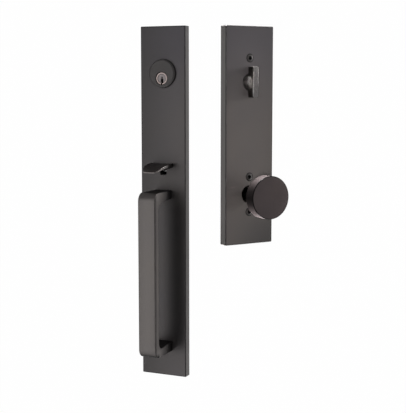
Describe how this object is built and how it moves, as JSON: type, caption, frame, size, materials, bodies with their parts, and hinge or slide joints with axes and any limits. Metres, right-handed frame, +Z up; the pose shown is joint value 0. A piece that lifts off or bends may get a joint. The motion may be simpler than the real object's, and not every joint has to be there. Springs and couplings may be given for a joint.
{
  "type": "entry door handleset",
  "caption": "Full-plate entry set: exterior plate with keyed cylinder, thumbpiece and pull grip; interior plate with thumbturn and round disc knob.",
  "frame": {"origin": "latch axis in the plane of the exterior plate's back", "axes": "+X across the exterior plate, +Y out of its back into the door, +Z up"},
  "size_m": [0.2653, 0.2227, 0.5016],
  "materials": {
    "plate": "dark graphite plating, fine satin",
    "grip": "dark graphite plating, satin",
    "knob": "dark graphite plating, soft gloss",
    "plug": "bare nickel silver, turned",
    "brass_parts": "bare brass, machined",
    "steel_parts": "zinc plated steel",
    "screws": "black oxide steel"
  },
  "bodies": {
    "handleset": {"exterior_plate": "plate", "cylinder_housing": "plate", "chamber_cover": "brass_parts", "driver_pins": "brass_parts", "pin_springs": "steel_parts", "cylinder_retainer": "steel_parts", "retainer_screws": "steel_parts", "pivot_pin": "screws", "thumb_bracket": "screws", "bracket_screws": "steel_parts", "thumb_spring": "steel_parts", "grip_handle": "grip", "grip_screws": "steel_parts", "through_posts": "steel_parts", "interior_plate": "plate", "plate_screws": "screws", "turn_collar": "plate", "turn_washer": "steel_parts", "knob_bushing": "plate", "spring_case": "steel_parts", "case_screws": "steel_parts", "knob_spring": "steel_parts"},
    "plug": {"cylinder_plug": "plug", "key_pins": "brass_parts", "plug_cap": "brass_parts", "tailpiece": "steel_parts"},
    "thumb": {"thumbpiece": "grip"},
    "turn": {"thumbturn": "knob", "turn_clip": "steel_parts"},
    "knob_set": {"knob": "knob", "knob_ring": "steel_parts", "set_screw": "steel_parts", "spindle": "steel_parts", "driver_hub": "steel_parts"}
  },
  "joints": [
    {"name": "plug_turn", "type": "hinge", "parent": "handleset", "child": "plug", "pos_m": [0, 0, 0.1397], "axis": [0, 1, 0], "range_deg": [-90, 90]},
    {"name": "thumb_press", "type": "hinge", "parent": "handleset", "child": "thumb", "pos_m": [0, -0.003, 0.013], "axis": [1, 0, 0], "range_deg": [0, 12], "stiffness_Nm_per_rad": 0.12, "springref_deg": -28.65},
    {"name": "thumbturn_turn", "type": "hinge", "parent": "handleset", "child": "turn", "pos_m": [0.1665, -0.119, 0.1337], "axis": [-0.8192, 0.5736, 0], "range_deg": [-90, 90]},
    {"name": "knob_turn", "type": "hinge", "parent": "handleset", "child": "knob_set", "pos_m": [0.1665, -0.119, -0.006], "axis": [-0.8192, 0.5736, 0], "range_deg": [-60, 60], "stiffness_Nm_per_rad": 0.4}
  ]
}
